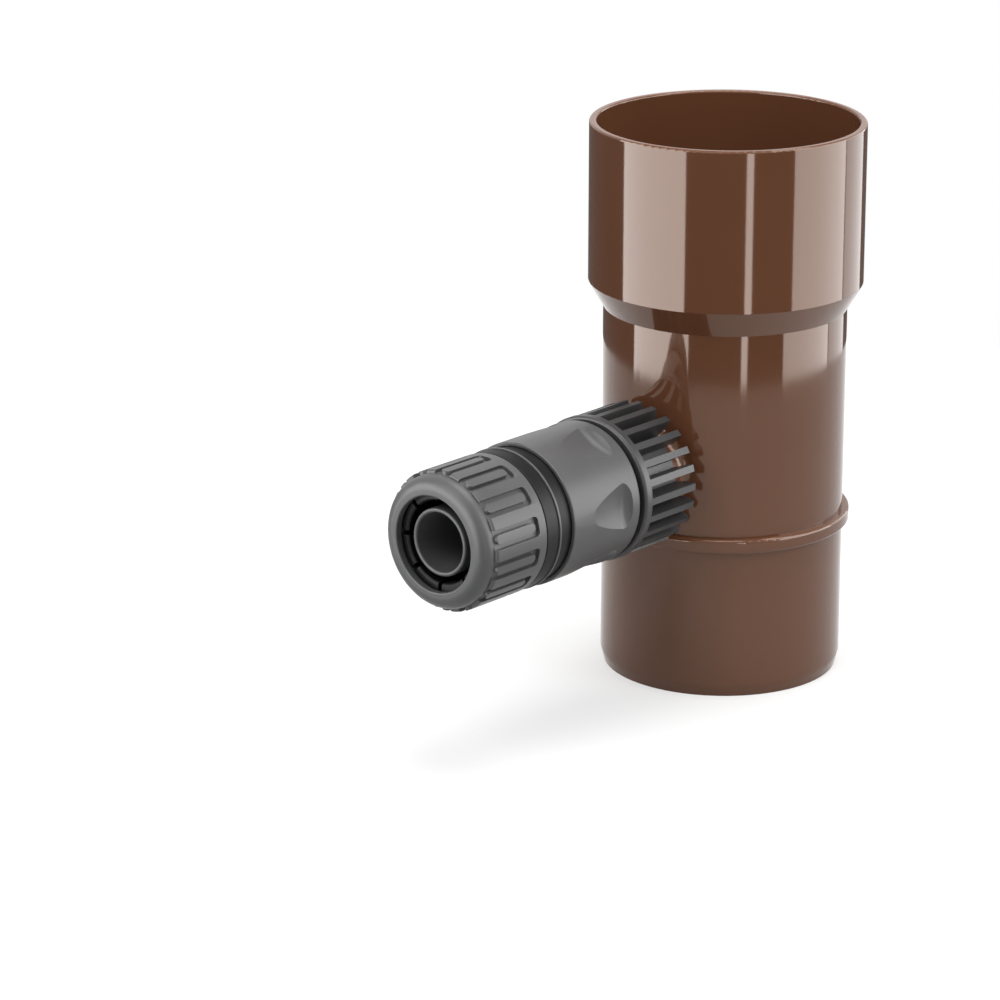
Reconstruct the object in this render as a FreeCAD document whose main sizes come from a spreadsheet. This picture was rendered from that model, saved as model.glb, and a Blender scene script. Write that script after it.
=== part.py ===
import FreeCAD, Part
import math
import os

import Sketcher

# Rainwater diverter for a 90 mm downpipe: a socketed pipe body with a catch trough inside, and on its
# side outlet a finned screw adapter, then a push-fit hose connector.
# Millimetres. Z is up along the pipe, with zero at the pipe's lower end. The outlet points along -Y.

SIZES = {
    # Pipe body, one moulding
    "tube_radius": 42.5,
    "pipe_wall": 2.6,
    "socket_radius": 47.85,
    "socket_start": 139.8,
    "cone_height": 9.3,
    "body_height": 196.0,
    "rim_round": 0.8,
    "bead_clearance": 2.55,
    "bead_width": 5.2,
    "bead_proud": 2.4,
    "lead_height": 5.0,
    "lead_depth": 1.2,
    "trough_step": 2.8,
    "chimney_radius": 30.0,
    "chimney_rise": 4.8,
    "trough_round": 3.0,
    # Side outlet, G1 thread: the core and the crest
    "outlet_height": 80.0,
    "outlet_reach": 64.5,
    "outlet_core": 15.15,
    "outlet_bore": 12.2,
    "outlet_root_round": 4.0,
    "outlet_lip": 0.6,
    "thread_crest": 16.62,
    "thread_slack": 0.1,
    # Flat gasket and strainer disc
    "gasket_depth": 2.2,
    "gasket_bore": 10.2,
    "gasket_slack": 0.4,
    "disc_radius": 11.3,
    "disc_depth": 1.0,
    "disc_rise": 1.6,
    "disc_slack": 0.2,
    "mesh_hole": 0.7,
    "mesh_pitch": 2.4,
    # Adapter: finned collar, flange and nipple
    "collar_gap": 0.9,
    "collar_radius": 25.4,
    "collar_sleeve": 18.7,
    "collar_round": 1.1,
    "fin_thickness": 2.4,
    "fin_count": 24,
    "fin_overhang": 3.2,
    "fin_nose": 3.6,
    "fin_round": 0.25,
    "flange_depth": 5.6,
    "flange_plate": 3.2,
    "mouth_chamfer": 0.6,
    "nipple_length": 31.3,
    "nipple_bore": 9.65,
    "nipple_crest": 14.75,
    "lip_width": 3.9,
    "lip_round": 1.2,
    "ring_section": 1.3,
    "ring_slack": 0.05,
    "ridge_width": 1.7,
    "ridge_gap": 1.2,
    "ridge_depth": 1.1,
    "ridge_round": 0.6,
    "waist_radius": 12.2,
    "boss_bore": 12.6,
    "boss_radius": 15.8,
    "boss_length": 9.0,
    "boss_round": 0.9,
    "flare_length": 6.0,
    # Snap-on connector: the core body
    "sleeve_gap": 1.5,
    "core_setback": 1.2,
    "bore_slack": 0.2,
    "mouth_bore": 16.3,
    "mouth_room": 1.0,
    "core_radius": 17.7,
    "tip_room": 0.6,
    "web_depth": 3.6,
    "barb_radius": 11.67,
    "barb_bore": 10.1,
    "barb_round": 0.7,
    "barb_inset": 3.0,
    "barb_tooth": 0.9,
    "barb_pitch": 6.0,
    "barb_ramp": 4.0,
    "barb_lead": 14.0,
    "pocket_radius": 16.0,
    "neck_radius": 19.75,
    "neck_bore": 17.85,
    "neck_length": 18.0,
    "rim_radius": 24.3,
    "rim_width": 0.8,
    # Claw ring and its fingers
    "claw_band": 6.0,
    "claw_radius": 23.3,
    "claw_channel": 3.6,
    "claw_wall": 1.5,
    "claw_seat_slack": 0.1,
    "claw_tuck": 1.2,
    "claw_thickness": 1.1,
    "claw_tip": 13.4,
    "claw_gap": 0.5,
    "claw_width": 3.4,
    "claw_catch": 1.4,
    "claw_pad": 20.1,
    "claw_pad_width": 2.0,
    "claw_angle": 34.0,
    "claw_count": 4,
    "window_slack": 0.4,
    "window_play": 4.0,
    # Release sleeve
    "sleeve_length": 34.6,
    "sleeve_radius": 24.7,
    "sleeve_round": 1.8,
    "sleeve_edge": 0.4,
    "sleeve_mouth": 23.5,
    "mouth_depth": 7.5,
    "sleeve_inside": 22.4,
    "cam_radius": 20.3,
    "cam_width": 3.0,
    "relief_radius": 21.5,
    "relief_length": 5.2,
    "shoulder_radius": 21.0,
    "lip_bore": 18.5,
    "lip_depth": 2.4,
    "scoop_count": 6,
    "scoop_depth": 2.6,
    "scoop_start": 4.2,
    "scoop_length": 21.0,
    "scoop_radius": 25.0,
    "scoop_round": 4.5,
    "scoop_turn": 3.8,
    # Stop ring and hose nut
    "stop_ring_width": 6.2,
    "stop_ring_radius": 23.9,
    "stop_ring_round": 0.5,
    "stop_ring_slack": 0.2,
    "nut_length": 29.4,
    "nut_radius": 24.1,
    "nut_opening": 16.4,
    "nut_lip": 2.2,
    "nut_ledge": 0.5,
    "nut_dome": 4.5,
    "nut_edge": 0.5,
    "nut_thread_depth": 0.85,
    "nut_cone_length": 11.5,
    "rib_count": 14,
    "rib_width": 3.1,
    "rib_gap": 1.8,
    "rib_depth": 1.4,
    "rib_round": 1.45,
    "rib_start": 4.8,
    "rib_end": 3.6,
    # Collet
    "collet_bore": 14.1,
    "collet_grip": 5.0,
    "collet_hollow": 16.0,
    "collet_radius": 17.65,
    "collet_ring": 6.0,
    "collet_slack": 0.3,
    "collet_end_slack": 0.1,
    "collet_setback": 1.1,
    "collet_slot": 1.6,
    "collet_count": 8,
}

ROUND = 360.0
MESH_RINGS = 3
HOLES_IN_FIRST_RING = 6
BARB_TEETH = 3

document = FreeCAD.newDocument("rainwater_diverter")
sheet = document.addObject("Spreadsheet::Sheet", "Sizes")
for row, (alias, length) in enumerate(SIZES.items(), start=1):
    sheet.set("A%d" % row, alias)
    sheet.set("B%d" % row, str(length))
    sheet.setAlias("B%d" % row, alias)
document.recompute()


class Size:
    # A size as a number, with the sheet's formula that gives it.
    def __init__(self, number, formula):
        self.number = number
        self.formula = formula

    def __add__(self, other):
        return joined(self, "+", other)

    def __radd__(self, other):
        return joined(other, "+", self)

    def __sub__(self, other):
        return joined(self, "-", other)

    def __rsub__(self, other):
        return joined(other, "-", self)

    def __mul__(self, other):
        return joined(self, "*", other)

    def __rmul__(self, other):
        return joined(other, "*", self)

    def __truediv__(self, other):
        return joined(self, "/", other)

    def __neg__(self):
        return joined(0, "-", self)


def as_size(value):
    return value if isinstance(value, Size) else Size(float(value), repr(value))


def joined(left, sign, right):
    left, right = as_size(left), as_size(right)
    number = {
        "+": lambda: left.number + right.number,
        "-": lambda: left.number - right.number,
        "*": lambda: left.number * right.number,
        "/": lambda: left.number / right.number,
    }[sign]()
    return Size(number, "(%s %s %s)" % (left.formula, sign, right.formula))


def size(alias):
    return Size(float(SIZES[alias]), "Sizes.%s" % alias)


def bind(thing, path, value):
    thing.setExpression(path, as_size(value).formula)


# Places along the outlet, as distances from the pipe's axis, each worked out from what it seats on
gasket_seat = size("outlet_reach") + size("gasket_depth")
flange_front = gasket_seat + size("flange_depth")
collar_rear = size("tube_radius") + size("bead_proud") + size("collar_gap")
nipple_tip = flange_front + size("nipple_length")
sleeve_rear = flange_front + size("sleeve_gap")
sleeve_front = sleeve_rear + size("sleeve_length")
rim_rear = sleeve_front + size("claw_band")
rim_front = rim_rear + size("rim_width")
nut_rear = rim_front + size("stop_ring_width")
nut_front = nut_rear + size("nut_length")
# The bead, trough and chimney keep their distance from the outlet
bead_high = size("outlet_height") - size("outlet_core") - size("outlet_root_round") - size("bead_clearance")
bead_low = bead_high - size("bead_width")
trough_floor = size("outlet_height") - size("outlet_bore") - size("trough_step")
chimney_top = size("outlet_height") + size("outlet_bore") + size("chimney_rise")
# The nipple's grooves and ridges, counted back from its tip
ring_middle = nipple_tip - size("lip_width") - size("ring_section") - size("ring_slack")
first_ridge = ring_middle - size("ring_section") - size("ring_slack")
second_ridge = first_ridge - size("ridge_width") - size("ridge_gap")
ridges_end = second_ridge - size("ridge_width")
# The claws catch behind the last ridge
claw_front = ridges_end - size("claw_gap")
claw_rear = claw_front - size("claw_width")
core_bore = size("nipple_crest") + size("bore_slack")
thread_bore = size("thread_crest") + size("thread_slack")


def new_body(name):
    body = document.addObject("PartDesign::Body", name)
    body.Label = name
    return body


def on_outlet(body):
    # The fittings are drawn about Z, and this lays them along the outlet's axis.
    body.Placement = FreeCAD.Placement(
        FreeCAD.Vector(0, 0, SIZES["outlet_height"]), FreeCAD.Rotation(FreeCAD.Vector(1, 0, 0), 90)
    )
    bind(body, "Placement.Base.z", size("outlet_height"))


def origin_feature(body, role):
    return next(part for part in body.Origin.OriginFeatures if part.Role == role)


def new_sketch(body, name, plane="XZ_Plane", shift=(0, 0, 0)):
    sketch = body.newObject("Sketcher::SketchObject", name)
    sketch.AttachmentSupport = (origin_feature(body, plane), [""])
    sketch.MapMode = "FlatFace"
    numbers = [as_size(value).number for value in shift]
    sketch.AttachmentOffset = FreeCAD.Placement(FreeCAD.Vector(*numbers), FreeCAD.Rotation())
    for letter, value in zip("xyz", shift):
        if isinstance(value, Size):
            bind(sketch, "AttachmentOffset.Base.%s" % letter, value)
    return sketch


def pin_point(sketch, edge, end, place):
    # Ties one end of an edge to its place, measured from the sketch's origin.
    for value, word, axis in ((place[0], "DistanceX", -2), (place[1], "DistanceY", -1)):
        if not isinstance(value, Size) and value == 0:
            sketch.addConstraint(Sketcher.Constraint("PointOnObject", edge, end, axis))
            continue
        length = as_size(value)
        row = sketch.addConstraint(Sketcher.Constraint(word, -1, 1, edge, end, length.number))
        bind(sketch, "Constraints[%d]" % row, length)


def add_arc(sketch, start, end, bend):
    # An arc from start to end. A positive bend turns left, a negative one right.
    radius = abs(bend.number)
    chord = end - start
    half = chord.Length / 2
    left = FreeCAD.Vector(-chord.y, chord.x, 0).normalize()
    lift = math.sqrt(max(radius * radius - half * half, 0)) * math.copysign(1, bend.number)
    centre = start + chord * 0.5 + left * lift
    first, last = (start, end) if bend.number > 0 else (end, start)
    angles = [math.atan2(point.y - centre.y, point.x - centre.x) for point in (first, last)]
    circle = Part.Circle(centre, FreeCAD.Vector(0, 0, 1), radius)
    edge = sketch.addGeometry(Part.ArcOfCircle(circle, *angles))
    return edge, (1, 2) if bend.number > 0 else (2, 1)


def outline(sketch, corners):
    # A closed outline. A corner with a third value starts an arc of that radius.
    points = [FreeCAD.Vector(as_size(c[0]).number, as_size(c[1]).number, 0) for c in corners]
    edges = []
    for index, corner in enumerate(corners):
        start, end = points[index], points[(index + 1) % len(points)]
        if len(corner) > 2:
            edges.append(add_arc(sketch, start, end, as_size(corner[2])))
        else:
            edges.append((sketch.addGeometry(Part.LineSegment(start, end)), (1, 2)))
    for index, (edge, ends) in enumerate(edges):
        following, next_ends = edges[(index + 1) % len(edges)]
        sketch.addConstraint(Sketcher.Constraint("Coincident", edge, ends[1], following, next_ends[0]))
        pin_point(sketch, edge, ends[0], corners[index])
        if len(corners[index]) > 2:
            bend = as_size(corners[index][2])
            radius = bend if bend.number > 0 else -bend
            row = sketch.addConstraint(Sketcher.Constraint("Radius", edge, radius.number))
            bind(sketch, "Constraints[%d]" % row, radius)


def circle(sketch, across, up, radius):
    centre = FreeCAD.Vector(as_size(across).number, as_size(up).number, 0)
    length = as_size(radius)
    edge = sketch.addGeometry(Part.Circle(centre, FreeCAD.Vector(0, 0, 1), length.number))
    pin_point(sketch, edge, 3, (across, up))
    row = sketch.addConstraint(Sketcher.Constraint("Radius", edge, length.number))
    bind(sketch, "Constraints[%d]" % row, length)


def revolve(body, name, corners, kind="Revolution", angle=ROUND, plane="XZ_Plane", shift=(0, 0, 0)):
    # A turned feature, or a turned cut with kind Groove, about the sketch's upright axis.
    sketch = new_sketch(body, name + "_profile", plane, shift)
    outline(sketch, corners)
    feature = body.newObject("PartDesign::" + kind, name)
    feature.Profile = sketch
    feature.ReferenceAxis = (sketch, ["V_Axis"])
    if isinstance(angle, Size):
        feature.Midplane = True
        bind(feature, "Angle", angle)
    else:
        feature.Angle = angle
    document.recompute()
    return feature


def pad(body, name, sketch, length):
    feature = body.newObject("PartDesign::Pad", name)
    feature.Profile = sketch
    feature.Midplane = True
    bind(feature, "Length", length)
    return feature


def pocket_through(body, name, sketch, reverse=False):
    feature = body.newObject("PartDesign::Pocket", name)
    feature.Profile = sketch
    feature.Type = "ThroughAll"
    feature.Reversed = reverse
    return feature


def around(body, name, feature, count):
    pattern = body.newObject("PartDesign::PolarPattern", name)
    pattern.Originals = [feature]
    pattern.Axis = (origin_feature(body, "Z_Axis"), [""])
    pattern.Angle = ROUND
    bind(pattern, "Occurrences", count)
    body.Tip = pattern
    document.recompute()
    return pattern


def edges_where(feature, test):
    # The names of the edges whose points all pass a test.
    names = []
    for number, edge in enumerate(feature.Shape.Edges, start=1):
        points = edge.discretize(Number=7)
        if all(test(point) for point in points):
            names.append("Edge%d" % number)
    return names


def near(value, target, slack=0.05):
    return abs(value - target) < slack


def make_diverter_body():
    body = new_body("diverter_body")
    tube = size("tube_radius")
    socket = size("socket_radius")
    wall = size("pipe_wall")
    top = size("body_height")
    rim = size("rim_round")
    proud = size("bead_proud")
    cone_bottom = size("socket_start") - size("cone_height")
    # Outside: lead-in, spigot, stop bead, tube, cone and socket
    revolve(body, "pipe_outside", [
        (0, 0),
        (tube - size("lead_depth"), 0),
        (tube, size("lead_height")),
        (tube, bead_low),
        (tube + proud / 2, bead_low, proud / 2),
        (tube + proud, bead_low + proud / 2),
        (tube + proud, bead_high - proud / 2, proud / 2),
        (tube + proud / 2, bead_high),
        (tube, bead_high),
        (tube, cone_bottom),
        (socket, size("socket_start")),
        (socket, top - rim, rim),
        (socket - rim, top),
        (0, top),
    ])
    # Side outlet as a solid stub, with a soft root where it leaves the tube
    reach = size("outlet_reach")
    core = size("outlet_core")
    lip = size("outlet_lip")
    revolve(body, "outlet_stub", [
        (0, 0),
        (core, 0),
        (core, lip - reach),
        (core - lip, -reach),
        (0, -reach),
    ], plane="XY_Plane", shift=(0, 0, size("outlet_height")))
    stub = body.Tip

    def on_root(point):
        beside = math.hypot(point.x, point.z - SIZES["outlet_height"])
        outward = math.hypot(point.x, point.y)
        return near(beside, SIZES["outlet_core"]) and near(outward, SIZES["tube_radius"]) and point.y < 0

    root = body.newObject("PartDesign::Fillet", "outlet_root")
    root.Base = (stub, edges_where(stub, on_root))
    bind(root, "Radius", size("outlet_root_round"))
    document.recompute()
    # Inside: spigot bore, overflow chimney, catch trough round it, tube and socket
    floor = trough_floor
    bend = size("trough_round")
    flue = size("chimney_radius")
    inside = tube - wall
    revolve(body, "pipe_inside", [
        (0, 0),
        (inside, 0),
        (inside, floor - wall - bend, bend),
        (inside - bend, floor - wall),
        (flue - wall + bend, floor - wall, -bend),
        (flue - wall, floor - wall + bend),
        (flue - wall, chimney_top),
        (flue, chimney_top),
        (flue, floor + bend, bend),
        (flue + bend, floor),
        (inside - bend, floor, bend),
        (inside, floor + bend),
        (inside, cone_bottom),
        (socket - wall, size("socket_start") - wall / 4),
        (socket - wall, top - rim, -rim),
        (socket - wall + rim, top),
        (0, top),
    ], kind="Groove")
    # The outlet's bore, from the trough to the mouth
    revolve(body, "outlet_bore", [
        (0, -(flue + wall)),
        (size("outlet_bore"), -(flue + wall)),
        (size("outlet_bore"), lip - reach),
        (size("outlet_bore") + lip, -reach),
        (0, -reach),
    ], kind="Groove", plane="XY_Plane", shift=(0, 0, size("outlet_height")))
    return body


def make_outlet_gasket():
    body = new_body("outlet_gasket")
    on_outlet(body)
    outside = thread_bore - size("gasket_slack")
    revolve(body, "washer", [
        (size("gasket_bore"), size("outlet_reach")),
        (outside, size("outlet_reach")),
        (outside, gasket_seat),
        (size("gasket_bore"), gasket_seat),
    ])


def make_strainer_disc():
    body = new_body("strainer_disc")
    on_outlet(body)
    back = gasket_seat
    front = gasket_seat + size("disc_depth")
    dome = size("gasket_bore") - size("disc_slack")
    rise = size("disc_rise")
    curve = (dome * dome + rise * rise) / (rise * 2)
    revolve(body, "domed_blank", [
        (size("disc_radius"), back),
        (size("disc_radius"), front),
        (dome, front, curve),
        (0, front + rise),
        (0, back + rise, -curve),
        (dome, back),
    ])
    # The mesh: one hole in the middle and rings of holes round it
    middle = new_sketch(body, "middle_hole_profile", "XY_Plane", (0, 0, back))
    circle(middle, 0, 0, size("mesh_hole"))
    pocket_through(body, "middle_hole", middle, reverse=True)
    for ring in range(1, MESH_RINGS + 1):
        hole = new_sketch(body, "hole_profile_%d" % ring, "XY_Plane", (0, 0, back))
        circle(hole, size("mesh_pitch") * ring, 0, size("mesh_hole"))
        cut = pocket_through(body, "hole_%d" % ring, hole, reverse=True)
        around(body, "ring_of_holes_%d" % ring, cut, HOLES_IN_FIRST_RING * ring)


def make_outlet_adapter():
    body = new_body("outlet_adapter")
    on_outlet(body)
    front = flange_front
    back = front - size("flange_plate")
    sleeve_end = collar_rear + size("fin_overhang")
    crest = size("nipple_crest")
    bend = size("ridge_round")
    valley = crest - size("ridge_depth")
    boss_end = front + size("boss_length")
    waist = size("waist_radius")
    flare = size("boss_radius") - size("boss_round") - waist
    flare_curve = (flare * flare + size("flare_length") * size("flare_length")) / (flare * 2)
    groove = core_bore - size("ring_section") * 2 - size("ring_slack") * 2
    chamfer = size("mouth_chamfer")
    dome_end = gasket_seat + size("disc_depth") * 2
    recess = size("disc_radius") + size("disc_slack")
    revolve(body, "collar_and_nipple", [
        (thread_bore + chamfer, sleeve_end),
        (size("collar_sleeve"), sleeve_end),
        (size("collar_sleeve"), back),
        (size("collar_radius"), back),
        (size("collar_radius"), front - size("collar_round"), size("collar_round")),
        (size("collar_radius") - size("collar_round"), front),
        (size("boss_radius"), front),
        (size("boss_radius"), boss_end - size("boss_round"), size("boss_round")),
        (size("boss_radius") - size("boss_round"), boss_end, -flare_curve),
        (waist, boss_end + size("flare_length")),
        (waist, ridges_end),
        (crest - bend, ridges_end, bend),
        (crest, ridges_end + bend),
        (crest, second_ridge - bend, bend),
        (crest - bend, second_ridge),
        (valley, second_ridge),
        (valley, second_ridge + size("ridge_gap")),
        (crest - bend, second_ridge + size("ridge_gap"), bend),
        (crest, second_ridge + size("ridge_gap") + bend),
        (crest, first_ridge - bend, bend),
        (crest - bend, first_ridge),
        (groove, first_ridge),
        (groove, nipple_tip - size("lip_width")),
        (crest, nipple_tip - size("lip_width")),
        (crest, nipple_tip - size("lip_round"), size("lip_round")),
        (crest - size("lip_round"), nipple_tip),
        (size("nipple_bore") + chamfer, nipple_tip),
        (size("nipple_bore"), nipple_tip - chamfer),
        (size("nipple_bore"), boss_end + size("boss_round")),
        (size("boss_bore"), boss_end - size("boss_round") * 2),
        (size("boss_bore"), dome_end + size("disc_rise")),
        (size("gasket_bore"), dome_end),
        (size("gasket_bore"), gasket_seat + size("disc_depth")),
        (recess, gasket_seat + size("disc_depth")),
        (recess, gasket_seat),
        (thread_bore, gasket_seat),
        (thread_bore, sleeve_end + chamfer),
    ])
    # One fin, with its rear end cut back to a nose, then the whole ring of fins
    root = (thread_bore + size("collar_sleeve")) / 2
    nose = size("collar_radius") - size("fin_nose")
    fin = new_sketch(body, "fin_profile")
    outline(fin, [
        (root, sleeve_end + chamfer),
        (size("collar_sleeve"), sleeve_end),
        (nose, collar_rear),
        (size("collar_radius") - size("fin_round") * 2, collar_rear, size("fin_round")),
        (size("collar_radius") - size("fin_round"), collar_rear + size("fin_round")),
        (size("collar_radius") - size("fin_round"), back + size("fin_round")),
        (root, back + size("fin_round")),
    ])
    fin_pad = pad(body, "fin", fin, size("fin_thickness"))
    around(body, "fins", fin_pad, size("fin_count"))


def make_nipple_o_ring():
    body = new_body("nipple_o_ring")
    on_outlet(body)
    sketch = new_sketch(body, "section")
    circle(sketch, core_bore - size("ring_slack") - size("ring_section"), ring_middle, size("ring_section"))
    ring = body.newObject("PartDesign::Revolution", "o_ring")
    ring.Profile = sketch
    ring.ReferenceAxis = (sketch, ["V_Axis"])
    ring.Angle = ROUND


def barb_teeth(tube_end):
    # The barb's outline from its last tooth out to its tip.
    corners = []
    for place in range(BARB_TEETH - 1, -1, -1):
        drop = tube_end - size("barb_lead") - size("barb_pitch") * place
        corners.append((size("barb_radius"), drop))
        corners.append((size("barb_radius") + size("barb_tooth"), drop))
        corners.append((size("barb_radius"), drop + size("barb_ramp")))
    return corners


def make_connector_body():
    body = new_body("connector_body")
    on_outlet(body)
    mouth = sleeve_rear + size("core_setback")
    wide_end = flange_front + size("boss_length") + size("mouth_room")
    narrow = size("mouth_bore") - core_bore
    web_rear = nipple_tip + size("tip_room")
    web_front = web_rear + size("web_depth")
    neck_end = rim_front + size("neck_length")
    barb_end = nut_front - size("barb_inset")
    bend = size("barb_round")
    chamfer = size("mouth_chamfer")
    revolve(body, "core", [
        (size("mouth_bore") + chamfer, mouth),
        (size("core_radius"), mouth),
        (size("core_radius"), rim_rear),
        (size("rim_radius"), rim_rear),
        (size("rim_radius"), rim_front),
        (size("neck_radius"), rim_front),
        (size("neck_radius"), neck_end),
        (size("neck_bore"), neck_end),
        (size("neck_bore"), rim_front),
        (size("pocket_radius"), rim_front),
        (size("pocket_radius"), web_front),
        (size("barb_radius"), web_front),
    ] + barb_teeth(barb_end) + [
        (size("barb_radius"), barb_end - bend, bend),
        (size("barb_radius") - bend, barb_end),
        (size("barb_bore") + bend, barb_end, bend),
        (size("barb_bore"), barb_end - bend),
        (size("barb_bore"), web_rear + size("web_depth") / 2),
        (core_bore - size("web_depth") / 2, web_rear),
        (core_bore, web_rear),
        (core_bore, wide_end + narrow),
        (size("mouth_bore"), wide_end),
        (size("mouth_bore"), mouth + chamfer),
    ])
    # Windows that the claws reach through
    window = revolve(body, "window", [
        (core_bore - narrow, claw_rear - size("window_slack")),
        (size("core_radius") + narrow, claw_rear - size("window_slack")),
        (size("core_radius") + narrow, claw_front + size("window_slack")),
        (core_bore - narrow, claw_front + size("window_slack")),
    ], kind="Groove", angle=size("claw_angle") + size("window_play"))
    around(body, "windows", window, size("claw_count"))


def make_locking_claws():
    body = new_body("locking_claws")
    on_outlet(body)
    inside = size("core_radius") + size("claw_seat_slack")
    outside = inside + size("claw_thickness")
    band_rear = sleeve_front - size("claw_tuck")
    band_round = size("stop_ring_round")
    wall = size("claw_wall")
    revolve(body, "band", [
        (inside, band_rear),
        (inside + wall, band_rear),
        (inside + wall, rim_rear - size("claw_channel")),
        (size("claw_radius") - wall, rim_rear - size("claw_channel")),
        (size("claw_radius") - wall, band_rear),
        (size("claw_radius"), band_rear),
        (size("claw_radius"), rim_rear - band_round, band_round),
        (size("claw_radius") - band_round, rim_rear),
        (inside, rim_rear),
    ])
    # One springy finger with its locking hook, then one over each window
    pad_end = claw_rear + size("claw_pad_width")
    ramp = size("claw_width") - size("claw_catch")
    finger = revolve(body, "finger", [
        (size("claw_tip"), claw_front),
        (inside, claw_front),
        (inside, band_rear + size("claw_thickness")),
        (outside, band_rear + size("claw_thickness")),
        (outside, pad_end + size("claw_pad") - outside),
        (size("claw_pad"), pad_end),
        (size("claw_pad"), claw_rear),
        (size("claw_tip") + ramp, claw_rear),
        (size("claw_tip"), claw_front - size("claw_catch")),
    ], angle=size("claw_angle"))
    around(body, "fingers", finger, size("claw_count"))


def make_release_sleeve():
    body = new_body("release_sleeve")
    on_outlet(body)
    radius = size("sleeve_radius")
    bend = size("sleeve_round")
    edge = size("sleeve_edge")
    cam_rear = claw_rear - size("claw_gap")
    cam_front = cam_rear + size("cam_width")
    mouth_end = sleeve_front - size("mouth_depth")
    step = size("sleeve_mouth") - size("sleeve_inside")
    revolve(body, "shell", [
        (size("lip_bore"), sleeve_rear),
        (radius - bend, sleeve_rear, bend),
        (radius, sleeve_rear + bend),
        (radius, sleeve_front - edge, edge),
        (radius - edge, sleeve_front),
        (size("sleeve_mouth"), sleeve_front),
        (size("sleeve_mouth"), mouth_end),
        (size("sleeve_inside"), mouth_end - step),
        (size("sleeve_inside"), cam_front),
        (size("cam_radius"), cam_front),
        (size("cam_radius"), cam_rear),
        (size("relief_radius"), cam_rear),
        (size("relief_radius"), cam_rear - size("relief_length")),
        (size("shoulder_radius"), cam_rear - size("relief_length")),
        (size("shoulder_radius"), sleeve_rear + size("lip_depth")),
        (size("lip_bore"), sleeve_rear + size("lip_depth")),
    ])
    # Finger scoops: the side of a slim cone, deepest near the sleeve's rear end
    depth = size("scoop_depth")
    cone = size("scoop_radius")
    corner = size("scoop_round")
    scoop = revolve(body, "scoop", [
        (0, 0),
        (cone - corner, 0, corner),
        (cone, corner),
        (cone - depth, size("scoop_length")),
        (0, size("scoop_length")),
    ], kind="Groove", shift=(radius - depth + cone, sleeve_rear + size("scoop_start"), 0))
    around(body, "scoops", scoop, size("scoop_count"))
    turn = FreeCAD.Placement(FreeCAD.Vector(), FreeCAD.Rotation(FreeCAD.Vector(0, 0, 1), SIZES["scoop_turn"]))
    body.Placement = body.Placement * turn


def make_nut_stop_ring():
    body = new_body("nut_stop_ring")
    on_outlet(body)
    inside = size("neck_radius") + size("claw_seat_slack")
    outside = size("stop_ring_radius")
    bend = size("stop_ring_round")
    end = nut_rear - size("stop_ring_slack")
    revolve(body, "ring", [
        (inside, rim_front),
        (outside - bend, rim_front, bend),
        (outside, rim_front + bend),
        (outside, end - bend, bend),
        (outside - bend, end),
        (inside, end),
    ])


# The nut's inside: the cone that squeezes the collet
cone_front = nut_front - size("nut_lip")
cone_rear = cone_front - size("nut_cone_length")
cone_narrow = size("nut_opening") + size("nut_ledge")
cone_wide = size("neck_radius") + size("nut_thread_depth") - size("nut_ledge")


def make_hose_nut():
    body = new_body("hose_nut")
    on_outlet(body)
    radius = size("nut_radius")
    edge = size("nut_edge")
    floor = radius - size("rib_depth")
    dome = size("nut_dome")
    step = nut_front - size("rib_start")
    bore = size("neck_radius") + size("nut_thread_depth")
    opening = size("nut_opening")
    revolve(body, "shell", [
        (bore + edge, nut_rear),
        (radius - edge, nut_rear, edge),
        (radius, nut_rear + edge),
        (radius, step - edge * 2, edge * 2),
        (radius - edge * 2, step),
        (floor, step),
        (floor, nut_front - dome, dome),
        (floor - dome, nut_front),
        (opening + edge, nut_front, edge),
        (opening, nut_front - edge),
        (opening, cone_front),
        (cone_narrow, cone_front),
        (cone_wide, cone_rear),
        (bore, cone_rear),
        (bore, nut_rear + edge),
    ])
    # One recess, open at the dome, with its rib left standing, then all round the nut
    rib = size("rib_width") / 2
    side = rib + size("rib_gap")
    end = nut_rear + size("rib_end")
    rib_rear = end + size("rib_gap")
    rib_front = step - edge
    bend = size("rib_round")
    recess = new_sketch(body, "recess_profile", shift=(0, 0, -floor))
    outline(recess, [
        (-side, nut_front),
        (-side, end + bend, bend),
        (bend - side, end),
        (side - bend, end, bend),
        (side, end + bend),
        (side, nut_front),
    ])
    outline(recess, [
        (-rib, rib_rear + bend, bend),
        (bend - rib, rib_rear),
        (rib - bend, rib_rear, bend),
        (rib, rib_rear + bend),
        (rib, rib_front - bend, bend),
        (rib - bend, rib_front),
        (bend - rib, rib_front, bend),
        (-rib, rib_front - bend),
    ])
    cut = pocket_through(body, "recess", recess)
    around(body, "recesses", cut, size("rib_count"))


def make_hose_collet():
    body = new_body("hose_collet")
    on_outlet(body)
    rear = rim_front + size("collet_end_slack")
    front = cone_front - size("collet_setback")
    slack = size("collet_slack")
    shoulder = rim_front + size("neck_length") + slack * 2
    bore = size("collet_bore")
    chamfer = size("mouth_chamfer")
    taper = (cone_wide - cone_narrow) / size("nut_cone_length")
    tip = cone_narrow + taper * size("collet_setback") - slack
    revolve(body, "collet", [
        (size("collet_radius"), rear),
        (size("collet_radius"), shoulder),
        (cone_wide - slack, shoulder),
        (cone_wide - slack, cone_rear),
        (tip, front),
        (bore + chamfer, front),
        (bore, front - chamfer),
        (bore, front - size("collet_grip")),
        (size("collet_hollow"), front - size("collet_grip") * 2),
        (size("collet_hollow"), rear),
    ])
    half = size("collet_slot") / 2
    slot = new_sketch(body, "slot_profile")
    outline(slot, [
        (-half, rear + size("collet_ring")),
        (half, rear + size("collet_ring")),
        (half, nut_front),
        (-half, nut_front),
    ])
    cut = pocket_through(body, "slot", slot)
    around(body, "slots", cut, size("collet_count"))


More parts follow.
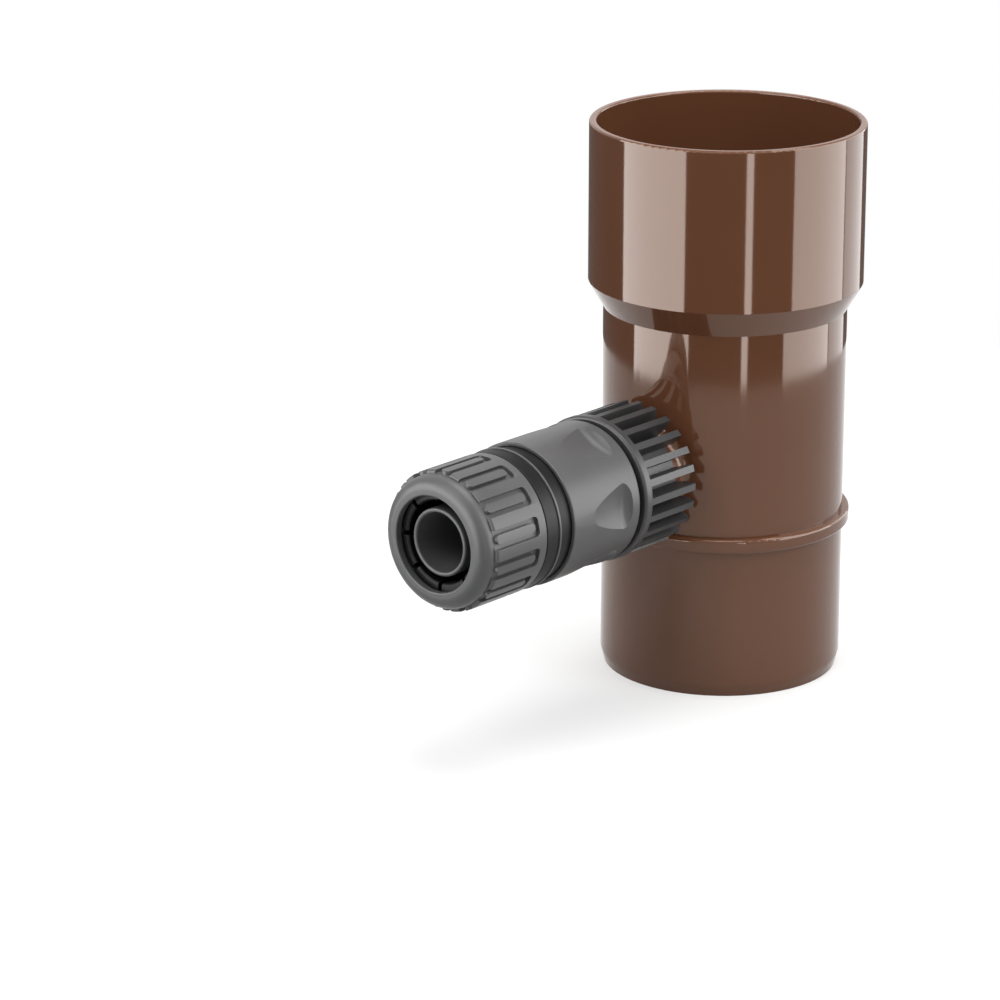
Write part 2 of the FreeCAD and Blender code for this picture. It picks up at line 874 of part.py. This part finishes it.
MAKERS = [
    make_diverter_body,
    make_outlet_gasket,
    make_strainer_disc,
    make_outlet_adapter,
    make_nipple_o_ring,
    make_connector_body,
    make_locking_claws,
    make_release_sleeve,
    make_nut_stop_ring,
    make_hose_nut,
    make_hose_collet,
]

for make in MAKERS:
    make()
document.recompute()

bodies = document.findObjects("PartDesign::Body")
for thing in document.Objects:
    if "Invalid" in thing.State or "Error" in thing.State:
        raise RuntimeError("%s did not build: %s" % (thing.Name, thing.State))
for body in bodies:
    shape = body.Shape
    if shape.isNull() or not shape.isValid() or len(shape.Solids) != 1:
        raise RuntimeError("%s is not one sound solid" % body.Label)

os.makedirs("parts", exist_ok=True)
for body in bodies:
    body.Shape.exportStep("parts/%s.step" % body.Label)
    print("%-18s %9.1f mm3" % (body.Label, body.Shape.Volume))
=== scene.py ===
import math

import bpy
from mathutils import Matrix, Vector


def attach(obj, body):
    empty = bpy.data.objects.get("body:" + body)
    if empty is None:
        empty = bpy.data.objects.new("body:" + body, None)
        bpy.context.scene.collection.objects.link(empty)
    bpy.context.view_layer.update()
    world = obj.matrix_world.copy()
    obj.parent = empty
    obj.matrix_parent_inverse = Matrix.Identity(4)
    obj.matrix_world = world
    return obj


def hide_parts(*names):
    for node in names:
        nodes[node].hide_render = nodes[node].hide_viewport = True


# Rainwater diverter: brown pipe body, and grey hose fittings on its side outlet

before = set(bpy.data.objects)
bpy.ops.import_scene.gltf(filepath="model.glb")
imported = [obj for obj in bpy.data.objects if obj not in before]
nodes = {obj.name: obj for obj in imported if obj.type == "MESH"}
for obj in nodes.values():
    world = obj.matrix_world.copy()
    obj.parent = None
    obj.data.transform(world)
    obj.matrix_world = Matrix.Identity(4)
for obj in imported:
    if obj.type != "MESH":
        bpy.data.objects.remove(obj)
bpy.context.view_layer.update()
mm = 0.001
mmPerMetre = 1000
outletHeight = 0.080  # metres, from the ground up to the outlet's axis
plainWhite = (1, 1, 1, 1)
print("frame loaded:", len(nodes), "nodes")


# Small helpers
def linear(hexColour):
    # sRGB hex to the linear values that Blender works in, by the curve of the sRGB standard
    channels = [int(hexColour[i:i + 2], 16) / 255 for i in (1, 3, 5)]
    return [c / 12.92 if c <= 0.04045 else ((c + 0.055) / 1.055) ** 2.4 for c in channels] + [1]


def addNode(tree, kind, settings=None, inputs=None, links=None):
    # One node with its settings, its fixed inputs and what is plugged into it
    node = tree.nodes.new(kind)
    for name, value in (settings or {}).items():
        setattr(node, name, value)
    for name, value in (inputs or {}).items():
        node.inputs[name].default_value = value
    for name, socket in (links or {}).items():
        tree.links.new(socket, node.inputs[name])
    return node


def newMaterial(name):
    material = bpy.data.materials.new(name)
    material.use_nodes = True
    material.node_tree.nodes.clear()
    return material, material.node_tree


def wear(piece, material):
    piece.data.materials.clear()
    piece.data.materials.append(material)


# Plastics, one for each finish in the record
pattern = {
    "colourFrom": 0.3,  # of the slow noise's height, where the shade begins to give way
    "colourTo": 0.7,
    "flowDetail": 3,
    "grainDetail": 4,
}


def mouldedPlastic(name, look):
    # A smooth moulded plastic: even colour with faint flow, and a fine waviness in its gloss
    material, tree = newMaterial(name)
    place = addNode(tree, "ShaderNodeTexCoord").outputs["Object"]
    flow = addNode(tree, "ShaderNodeTexNoise", inputs={
        "Scale": mmPerMetre / look["flowMm"],
        "Detail": pattern["flowDetail"],
    }, links={"Vector": place})
    ramp = addNode(tree, "ShaderNodeValToRGB", links={"Fac": flow.outputs["Fac"]})
    shade, colour = ramp.color_ramp.elements
    shade.position = pattern["colourFrom"]
    shade.color = linear(look["shade"])
    colour.position = pattern["colourTo"]
    colour.color = linear(look["colour"])
    grain = addNode(tree, "ShaderNodeTexNoise", inputs={
        "Scale": mmPerMetre / look["grainMm"],
        "Detail": pattern["grainDetail"],
    }, links={"Vector": place})
    roughness = addNode(tree, "ShaderNodeMapRange", inputs={
        "To Min": look["roughness"] - look["roughnessPlay"],
        "To Max": look["roughness"] + look["roughnessPlay"],
    }, links={"Value": grain.outputs["Fac"]})
    bump = addNode(tree, "ShaderNodeBump", inputs={
        "Strength": look["bump"],
        "Distance": look["bumpMm"] * mm,
    }, links={"Height": grain.outputs["Fac"]})
    shader = addNode(tree, "ShaderNodeBsdfPrincipled", inputs={
        "IOR": look["ior"],
        "Specular Tint": linear(look["glossTint"]),
    }, links={
        "Base Color": ramp.outputs["Color"],
        "Roughness": roughness.outputs["Result"],
        "Normal": bump.outputs["Normal"],
    })
    addNode(tree, "ShaderNodeOutputMaterial", links={"Surface": shader.outputs["BSDF"]})
    return material


plastics = {
    "pipe_plastic": mouldedPlastic("glossyBrownPvc", {
        # Hard PVC from a polished mould: chocolate brown with mirror-like highlights, faintly warm
        "colour": "#65412D", "shade": "#613D2A", "flowMm": 60, "grainMm": 9,
        "roughness": 0.07, "roughnessPlay": 0.01, "bump": 0.04, "bumpMm": 0.15, "ior": 1.47,
        "glossTint": "#FFEFE4",
    }),
    "adapter_plastic": mouldedPlastic("satinGreyPolypropylene", {
        # Glass-filled polypropylene: dark neutral grey with a soft, slightly grainy sheen
        "colour": "#3D3D3E", "shade": "#373738", "flowMm": 20, "grainMm": 0.7,
        "roughness": 0.37, "roughnessPlay": 0.05, "bump": 0.2, "bumpMm": 0.06, "ior": 1.38,
        "glossTint": "#FFFFFF",
    }),
    "connector_plastic": mouldedPlastic("satinGreyAbs", {
        # Fine-textured ABS: mid grey, wide soft highlights
        "colour": "#535354", "shade": "#4D4D4E", "flowMm": 25, "grainMm": 0.6,
        "roughness": 0.38, "roughnessPlay": 0.05, "bump": 0.2, "bumpMm": 0.05, "ior": 1.33,
        "glossTint": "#FFFFFF",
    }),
    "black_plastic": mouldedPlastic("blackAcetal", {
        # Acetal: slippery near-black with a dull shine
        "colour": "#0E0E0F", "shade": "#0B0B0C", "flowMm": 15, "grainMm": 0.5,
        "roughness": 0.45, "roughnessPlay": 0.05, "bump": 0.15, "bumpMm": 0.04, "ior": 1.25,
        "glossTint": "#FFFFFF",
    }),
    "seal_rubber": mouldedPlastic("blackNitrileRubber", {
        # Moulded nitrile rubber: soft black that hardly shines
        "colour": "#131313", "shade": "#0F0F0F", "flowMm": 8, "grainMm": 0.4,
        "roughness": 0.6, "roughnessPlay": 0.08, "bump": 0.3, "bumpMm": 0.05, "ior": 1.45,
        "glossTint": "#FFFFFF",
    }),
    "strainer_plastic": mouldedPlastic("charcoalNylon", {
        # Moulded nylon: charcoal with a faint satin shine
        "colour": "#434445", "shade": "#3D3E3F", "flowMm": 12, "grainMm": 0.5,
        "roughness": 0.45, "roughnessPlay": 0.05, "bump": 0.2, "bumpMm": 0.05, "ior": 1.53,
        "glossTint": "#FFFFFF",
    }),
}
print("materials made")


# Finished copies of the CAD nodes, smooth where they are round and soft at their edges
finish = {
    "mergeMm": 0.002,
    "flatAngle": 0.05,  # degrees, up to which neighbouring triangles become one flat face
    "edgeAngle": 40,  # degrees, from which an edge is rounded
    "edgeSegments": 2,
    "smoothAngle": 28,  # degrees, from which an edge stays crisp
}
skins = {
    # The body that each node moves with, its plastic, and the rounding of its edges where the CAD has none
    "diverter_body": {"body": "pipe", "plastic": "pipe_plastic", "edgeMm": 0},
    "outlet_gasket": {"body": "seal", "plastic": "seal_rubber", "edgeMm": 0.2},
    "strainer_disc": {"body": "seal", "plastic": "strainer_plastic", "edgeMm": 0.08},
    "outlet_adapter": {"body": "adapter", "plastic": "adapter_plastic", "edgeMm": 0.18},
    "nipple_o_ring": {"body": "o_ring", "plastic": "seal_rubber", "edgeMm": 0},
    "connector_body": {"body": "connector", "plastic": "connector_plastic", "edgeMm": 0.15},
    "locking_claws": {"body": "connector", "plastic": "black_plastic", "edgeMm": 0.12},
    "nut_stop_ring": {"body": "connector", "plastic": "black_plastic", "edgeMm": 0},
    # The sleeve's scoops run out at a shallow angle, so its edges stay crisp from a smaller one
    "release_sleeve": {"body": "sleeve", "plastic": "connector_plastic", "edgeMm": 0.2, "smoothAngle": 13},
    "hose_collet": {"body": "collet", "plastic": "black_plastic", "edgeMm": 0.12},
    "hose_nut": {"body": "nut", "plastic": "connector_plastic", "edgeMm": 0.2},
}


def finishNode(node, plan):
    bpy.ops.object.select_all(action="DESELECT")
    nodes[node].select_set(True)
    bpy.context.view_layer.objects.active = nodes[node]
    bpy.ops.object.duplicate()
    piece = bpy.context.active_object
    piece.name = node + "_finished"
    bpy.ops.object.mode_set(mode="EDIT")
    bpy.ops.mesh.select_all(action="SELECT")
    bpy.ops.mesh.remove_doubles(threshold=finish["mergeMm"] * mm)
    if piece.data.has_custom_normals:
        bpy.ops.mesh.customdata_custom_splitnormals_clear()
    bpy.ops.mesh.dissolve_limited(angle_limit=math.radians(finish["flatAngle"]))
    bpy.ops.object.mode_set(mode="OBJECT")
    if plan["edgeMm"]:
        bevel = piece.modifiers.new("softEdges", "BEVEL")
        bevel.width = plan["edgeMm"] * mm
        bevel.segments = finish["edgeSegments"]
        bevel.limit_method = "ANGLE"
        bevel.angle_limit = math.radians(finish["edgeAngle"])
        bpy.ops.object.modifier_apply(modifier="softEdges")
    smoothAngle = plan.get("smoothAngle", finish["smoothAngle"])
    bpy.ops.object.shade_smooth_by_angle(angle=math.radians(smoothAngle))
    # Wide walls keep their own normals beside narrow rounded edges, so their gloss stays straight
    weigh = piece.modifiers.new("weighNormals", "WEIGHTED_NORMAL")
    weigh.keep_sharp = True
    bpy.ops.object.modifier_apply(modifier="weighNormals")
    wear(piece, plastics[plan["plastic"]])
    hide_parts(node)
    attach(piece, plan["body"])


for node, plan in skins.items():
    finishNode(node, plan)
    print("finished", node)


# Screw threads: the CAD nodes are plain where these ridges wind round them
threads = {
    # mm: radius at root and crest, first and last place along the outlet, pitch, width at root and crest
    "outlet_thread": {
        "on": "diverter_body", "root": 15.05, "crest": 16.6, "from": 50.8, "to": 63.5,
        "pitch": 2.309, "rootWidth": 1.66, "crestWidth": 0.4,
        "flat": 15.3,  # from the axis to the flats that the mould's parting line leaves, above and below
    },
    "adapter_thread": {
        "on": "outlet_adapter", "root": 16.85, "crest": 15.3, "from": 51.9545, "to": 63.6,
        "pitch": 2.309, "rootWidth": 1.66, "crestWidth": 0.4,
    },
    "neck_thread": {
        "on": "connector_body", "root": 19.65, "crest": 20.45, "from": 122.4, "to": 132.2,
        "pitch": 3.0, "rootWidth": 1.6, "crestWidth": 0.5,
    },
    "nut_thread": {
        "on": "hose_nut", "root": 20.7, "crest": 19.9, "from": 123.9, "to": 134.4,
        "pitch": 3.0, "rootWidth": 1.6, "crestWidth": 0.5,
    },
}
stepsPerTurn = 120
cornersOfRidge = 4


def windRidge(name, plan):
    # A flat section of the ridge, wound into a right-hand helix about the outlet's axis
    turns = (plan["to"] - plan["from"]) / plan["pitch"]
    bpy.ops.object.select_all(action="DESELECT")
    bpy.ops.mesh.primitive_plane_add(size=2 * mm)
    piece = bpy.context.active_object
    piece.name = name
    for corner in piece.data.vertices:
        atCrest = corner.co.x > 0
        radius = plan["crest"] if atCrest else plan["root"]
        width = plan["crestWidth"] if atCrest else plan["rootWidth"]
        along = plan["from"] + math.copysign(width / 2, corner.co.y)
        corner.co = (radius * mm, -along * mm, 0)
    bpy.ops.object.mode_set(mode="EDIT")
    bpy.ops.mesh.delete(type="ONLY_FACE")
    bpy.ops.object.mode_set(mode="OBJECT")
    wind = piece.modifiers.new("wind", "SCREW")
    wind.axis = "Y"
    wind.angle = math.radians(-360 * turns)
    wind.screw_offset = -plan["pitch"] * turns * mm
    wind.steps = wind.render_steps = round(stepsPerTurn * turns)
    bpy.ops.object.modifier_apply(modifier="wind")
    bpy.ops.object.mode_set(mode="EDIT")
    bpy.ops.mesh.select_all(action="SELECT")
    bpy.ops.mesh.fill_holes(sides=cornersOfRidge)
    bpy.ops.mesh.select_all(action="SELECT")
    bpy.ops.transform.translate(value=(0, 0, outletHeight))
    bpy.ops.object.mode_set(mode="OBJECT")
    return piece


def pressFlats(piece, flatMm):
    for side in (1, -1):
        plane = outletHeight + side * flatMm * mm
        bpy.ops.object.mode_set(mode="EDIT")
        bpy.ops.mesh.select_all(action="DESELECT")
        bpy.ops.object.mode_set(mode="OBJECT")
        for vertex in piece.data.vertices:
            vertex.select = (vertex.co.z - plane) * side > 0
        bpy.ops.object.mode_set(mode="EDIT")
        bpy.ops.transform.resize(value=(1, 1, 0), center_override=(0, 0, plane))
        bpy.ops.object.mode_set(mode="OBJECT")


def finishThread(piece, carrier):
    bpy.ops.object.mode_set(mode="EDIT")
    bpy.ops.mesh.select_all(action="SELECT")
    bpy.ops.mesh.normals_make_consistent(inside=False)
    bpy.ops.object.mode_set(mode="OBJECT")
    bpy.ops.object.shade_smooth_by_angle(angle=math.radians(finish["smoothAngle"]))
    wear(piece, plastics[carrier["plastic"]])
    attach(piece, carrier["body"])


for name, plan in threads.items():
    thread = windRidge(name, plan)
    if "flat" in plan:
        pressFlats(thread, plan["flat"])
    finishThread(thread, skins[plan["on"]])
print("threads wound")


# Stage: pale floor, soft lamps and the camera
stage = {
    "radius": 0.42,  # a round table top, so that the boxes beyond it show in the socket's gloss
    "floor": "#B0B0B0",
    "lift": 0.5,  # of plain white, added to the floor where it is seen
    "clothRadius": 1.5,  # dark cloth hung round the table below its top, seen in the gloss alone
    "clothDrop": 1.2,
    "cloth": "#707070",
    "air": "#E8E8E8",
    "airStrength": 0.6,
    "tableSides": 128,
    "clothSides": 64,
}


def seenDirectly(tree):
    # One for what the camera sees, straight or through gloss and glass
    path = addNode(tree, "ShaderNodeLightPath").outputs
    plain = addNode(tree, "ShaderNodeMath", {"operation": "MAXIMUM"},
                    links={0: path["Is Camera Ray"], 1: path["Is Glossy Ray"]})
    seen = addNode(tree, "ShaderNodeMath", {"operation": "MAXIMUM"},
                   links={0: plain.outputs["Value"], 1: path["Is Transmission Ray"]})
    return seen.outputs["Value"]


bpy.ops.object.select_all(action="DESELECT")
bpy.ops.mesh.primitive_circle_add(vertices=stage["tableSides"], radius=stage["radius"],
                                  fill_type="NGON", location=(0, 0, 0))
floor = bpy.context.active_object
floor.name = "floor"
floorPaint, tree = newMaterial("paleFloor")
share = addNode(tree, "ShaderNodeMath", {"operation": "MULTIPLY"},
                inputs={1: stage["lift"]}, links={0: seenDirectly(tree)})
paint = addNode(tree, "ShaderNodeBsdfDiffuse", inputs={"Color": linear(stage["floor"])})
glow = addNode(tree, "ShaderNodeEmission", inputs={"Color": plainWhite},
               links={"Strength": share.outputs["Value"]})
both = addNode(tree, "ShaderNodeAddShader", links={0: paint.outputs["BSDF"], 1: glow.outputs["Emission"]})
addNode(tree, "ShaderNodeOutputMaterial", links={"Surface": both.outputs["Shader"]})
wear(floor, floorPaint)

bpy.ops.object.select_all(action="DESELECT")
bpy.ops.mesh.primitive_cylinder_add(vertices=stage["clothSides"], radius=stage["clothRadius"],
                                    depth=stage["clothDrop"], end_fill_type="NOTHING",
                                    location=(0, 0, -stage["clothDrop"] / 2))
cloth = bpy.context.active_object
cloth.name = "darkCloth"
clothPaint, tree = newMaterial("darkFelt")
felt = addNode(tree, "ShaderNodeBsdfDiffuse", inputs={"Color": linear(stage["cloth"])})
addNode(tree, "ShaderNodeOutputMaterial", links={"Surface": felt.outputs["BSDF"]})
wear(cloth, clothPaint)
cloth.visible_camera = False
cloth.visible_diffuse = False
cloth.visible_shadow = False

world = bpy.data.worlds.new("studio")
bpy.context.scene.world = world
world.use_nodes = True
tree = world.node_tree
tree.nodes.clear()
air = addNode(tree, "ShaderNodeBackground", inputs={
    "Color": linear(stage["air"]),
    "Strength": stage["airStrength"],
})
backdrop = addNode(tree, "ShaderNodeBackground", inputs={"Color": plainWhite, "Strength": 1})
mix = addNode(tree, "ShaderNodeMixShader", links={
    "Fac": seenDirectly(tree),
    1: air.outputs["Background"],
    2: backdrop.outputs["Background"],
})
addNode(tree, "ShaderNodeOutputWorld", links={"Surface": mix.outputs["Shader"]})

lamps = {
    # Soft boxes that light the part: place, where it points, width and height in metres, watts
    "keySoftbox": {"place": (-0.3, -1.1, 1.3), "aim": (0, 0, 0.1), "size": (1.0, 0.8), "watts": 12},
    "sideSoftbox": {"place": (1.3, 0.2, 1.1), "aim": (0, 0, 0.1), "size": (0.8, 0.8), "watts": 10},
    "topSoftbox": {"place": (0.1, 0.2, 1.7), "aim": (0, 0, 0.05), "size": (1.1, 1.1), "watts": 26},
}
glossBoxes = {
    # Boxes that only show in the gloss, upright round the table
    "leftBox": {"place": (-0.549, -1.178, 0.2), "aim": (0, 0, 0.2), "size": (1.8, 1.1), "watts": 54},
    "rightBox": {"place": (1.09, 0.708, 0.2), "aim": (0, 0, 0.2), "size": (1.4, 1.1), "watts": 30},
    "backBox": {"place": (0.237, 1.278, 0.2), "aim": (0, 0, 0.2), "size": (0.8, 1.1), "watts": 7},
    "stripBox": {"place": (1.09, -0.708, -0.06), "aim": (0, 0, -0.06), "size": (0.13, 0.5), "watts": 1.75},
}
for name, plan in {**lamps, **glossBoxes}.items():
    light = bpy.data.lights.new(name, "AREA")
    light.shape = "RECTANGLE"
    light.size, light.size_y = plan["size"]
    light.energy = plan["watts"]
    lamp = bpy.data.objects.new(name, light)
    bpy.context.scene.collection.objects.link(lamp)
    lamp.location = plan["place"]
    towards = Vector(plan["aim"]) - Vector(plan["place"])
    lamp.rotation_euler = towards.to_track_quat("-Z", "Y").to_euler()
    lamp.visible_camera = False
    lamp.visible_diffuse = name in lamps

view = {
    "place": (0.8697, -1.0933, 0.5175),
    "lens": 149.4,  # mm
    "sensor": 36,  # mm, the width that the lens goes with
    "reach": 20,  # metres, beyond which nothing is drawn
    "down": 18.22,  # degrees below level
    "heading": 41.72,  # degrees, turned left of +Y
}
cameraData = bpy.data.cameras.new("camera")
cameraData.lens = view["lens"]
cameraData.sensor_width = view["sensor"]
cameraData.clip_end = view["reach"]
camera = bpy.data.objects.new("camera", cameraData)
bpy.context.scene.collection.objects.link(camera)
camera.location = view["place"]
camera.rotation_euler = (math.radians(90 - view["down"]), 0, math.radians(view["heading"]))
bpy.context.scene.camera = camera
bpy.context.scene.view_settings.view_transform = "Standard"
print("stage set")
